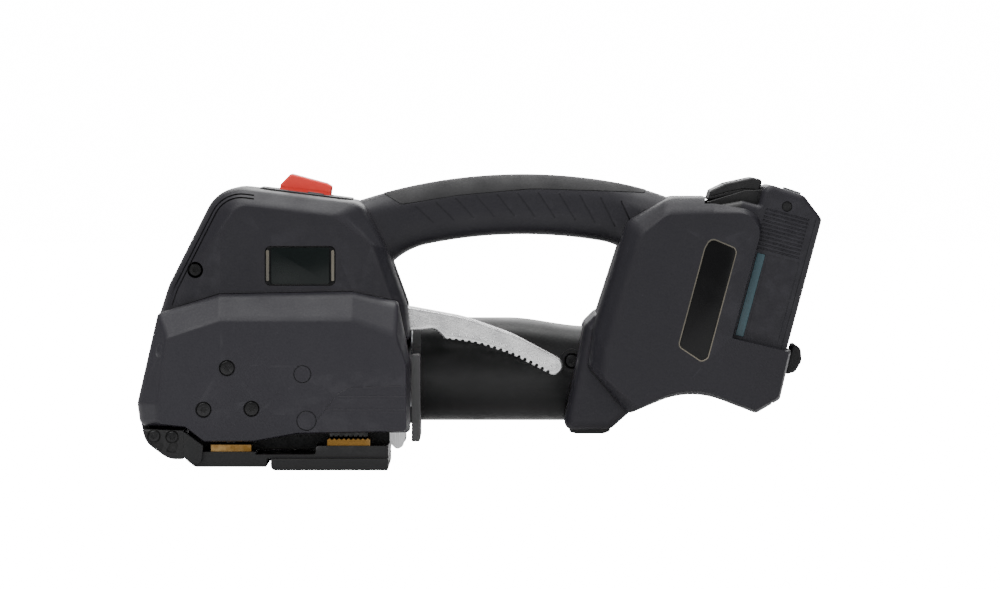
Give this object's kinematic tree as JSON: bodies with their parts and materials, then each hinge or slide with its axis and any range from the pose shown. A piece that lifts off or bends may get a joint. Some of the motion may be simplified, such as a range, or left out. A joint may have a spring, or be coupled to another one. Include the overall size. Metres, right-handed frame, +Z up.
{
  "type": "battery strapping tool",
  "caption": "Hand-held battery tool that tensions plastic strap with a knurled wheel and friction-welds the overlap; arched handle, release lever and slide-on battery.",
  "frame": {"origin": "underside of the flat sole, on the handle's centre plane", "axes": "+X from the head to the battery, +Y from the strap slot towards the motor tube, +Z up"},
  "size_m": [0.3512, 0.124, 0.1514],
  "materials": {
    "moulded_body": "fine matt grain",
    "moulded_cover": "fine matt grain",
    "soft_pad": "soft, ribbed",
    "tube_plastic": "smooth satin",
    "black_plastic": "satin",
    "gloss_inlay": "polished",
    "red_button": "satin",
    "grey_key": "satin",
    "cast_lever": "speckled casting",
    "cast_frame": "machined casting",
    "black_steel": "blackened",
    "ground_steel": "ground",
    "gold_plate": "titanium-nitride gold",
    "guide_grey": "polished",
    "dark_screw": "black oxide",
    "zinc_screw": "zinc",
    "stripe_teal": "satin",
    "cell": "shrink-wrapped cell",
    "contact": "plated",
    "board": "circuit board",
    "belt": "fabric-backed"
  },
  "bodies": {
    "tool": {"base_plate": "black_steel", "sole_plate": "black_steel", "tension_anvil": "gold_plate", "weld_anvil": "gold_plate", "main_frame": "cast_frame", "front_cover": "black_plastic", "motor_flange": "black_plastic", "strap_guide": "guide_grey", "bevel_box": "cast_frame", "planetary_gearbox": "ground_steel", "motor_can": "black_steel", "motor_tube": "tube_plastic", "weld_motor_can": "black_steel", "weld_motor_bracket": "cast_frame", "weld_belt": "belt", "left_shell": "moulded_body", "right_shell": "moulded_body", "left_cover": "moulded_cover", "right_cover": "moulded_cover", "handle_pad": "soft_pad", "control_panel": "black_plastic", "display_lens": "gloss_inlay", "side_inlays": "gloss_inlay", "trigger_switch": "board", "control_board": "board", "battery_terminals": "contact", "rear_foot": "soft_pad", "shell_screws": "dark_screw", "cover_screws": "dark_screw", "nose_screws": "dark_screw", "base_screws": "zinc_screw", "cover_plugs": "black_plastic", "rear_bumper": "soft_pad", "lever_pin": "ground_steel", "lever_spring": "ground_steel", "shaft_bearings": "ground_steel"},
    "lever": {"lever": "cast_lever"},
    "rocker": {"rocker_arm": "ground_steel"},
    "drive": {"drive_shaft": "ground_steel", "drive_gear": "ground_steel", "bevel_gear": "ground_steel"},
    "wheel": {"tension_wheel": "black_steel", "wheel_shaft": "ground_steel", "wheel_gear": "ground_steel"},
    "pinion": {"bevel_pinion": "ground_steel"},
    "rotor": {"motor_rotor": "ground_steel"},
    "carriage": {"weld_carriage": "cast_frame", "cutter_blade": "ground_steel"},
    "shoe": {"weld_shoe": "ground_steel"},
    "eccentric": {"eccentric_shaft": "ground_steel"},
    "weld_rotor": {"weld_rotor": "ground_steel"},
    "button": {"trigger_button": "red_button"},
    "key_1": {"mode_key": "grey_key"},
    "key_2": {"force_key": "grey_key"},
    "battery": {"battery_case": "moulded_body", "battery_rail_cover": "black_plastic", "battery_cells": "cell", "battery_stripes": "stripe_teal", "battery_screws": "zinc_screw"},
    "latch": {"battery_latch": "black_plastic"}
  },
  "joints": [
    {"name": "lever_lift", "type": "hinge", "parent": "tool", "child": "lever", "pos_m": [0.046, -0.0105, 0.0765], "axis": [0, -1, 0], "range_deg": [0, 25], "stiffness_Nm_per_rad": 0.35, "springref_deg": -14.32},
    {"name": "rocker_lift", "type": "hinge", "parent": "tool", "child": "rocker", "pos_m": [-0.008, 0, 0.0487], "axis": [0, 1, 0], "range_deg": [0, 6]},
    {"name": "drive_spin", "type": "hinge", "parent": "rocker", "child": "drive", "pos_m": [-0.008, 0, 0.0487], "axis": [0, 1, 0], "continuous": true},
    {"name": "wheel_spin", "type": "hinge", "parent": "rocker", "child": "wheel", "pos_m": [-0.0296, -0.045, 0.0286], "axis": [0, 1, 0], "continuous": true},
    {"name": "pinion_spin", "type": "hinge", "parent": "tool", "child": "pinion", "pos_m": [-0.008, 0.0281, 0.0487], "axis": [1, 0, 0], "continuous": true},
    {"name": "motor_spin", "type": "hinge", "parent": "tool", "child": "rotor", "pos_m": [-0.008, 0.0281, 0.0487], "axis": [1, 0, 0], "continuous": true},
    {"name": "carriage_lift", "type": "slide", "parent": "tool", "child": "carriage", "axis": [0, 0, 1], "range_m": [0, 0.003]},
    {"name": "shoe_oscillation", "type": "slide", "parent": "carriage", "child": "shoe", "axis": [0, 1, 0], "range_m": [-0.001, 0.001], "stiffness_N_per_m": 400},
    {"name": "eccentric_spin", "type": "hinge", "parent": "tool", "child": "eccentric", "pos_m": [0.0307, -0.043, 0.06], "axis": [0, 0, 1], "continuous": true},
    {"name": "weld_motor_spin", "type": "hinge", "parent": "tool", "child": "weld_rotor", "pos_m": [0.008, 0.004, 0.1], "axis": [0, 0, 1], "continuous": true},
    {"name": "button_press", "type": "slide", "parent": "tool", "child": "button", "axis": [-0.1253, 0, -0.9921], "range_m": [0, 0.0025], "stiffness_N_per_m": 700, "springref_m": -0.002},
    {"name": "key_1_press", "type": "slide", "parent": "tool", "child": "key_1", "axis": [-0.1253, 0, -0.9921], "range_m": [0, 0.0005], "stiffness_N_per_m": 900, "springref_m": -0.0005},
    {"name": "key_2_press", "type": "slide", "parent": "tool", "child": "key_2", "axis": [-0.1253, 0, -0.9921], "range_m": [0, 0.0005], "stiffness_N_per_m": 900, "springref_m": -0.0005},
    {"name": "battery_slide", "type": "slide", "parent": "tool", "child": "battery", "axis": [0.2588, 0, 0.9659], "range_m": [0, 0.11]},
    {"name": "latch_press", "type": "slide", "parent": "battery", "child": "latch", "axis": [-0.2588, 0, -0.9659], "range_m": [0, 0.0028], "stiffness_N_per_m": 600, "springref_m": -0.002}
  ],
  "couplings": [
    {"joint": "rocker_lift", "follows": "lever_lift", "ratio": 0.24},
    {"joint": "carriage_lift", "follows": "lever_lift", "m_per_rad": 0.0068},
    {"joint": "pinion_spin", "follows": "motor_spin", "ratio": 0.25},
    {"joint": "drive_spin", "follows": "motor_spin", "ratio": 0.11061},
    {"joint": "wheel_spin", "follows": "motor_spin", "ratio": -0.15083},
    {"joint": "eccentric_spin", "follows": "weld_motor_spin", "ratio": 1}
  ]
}
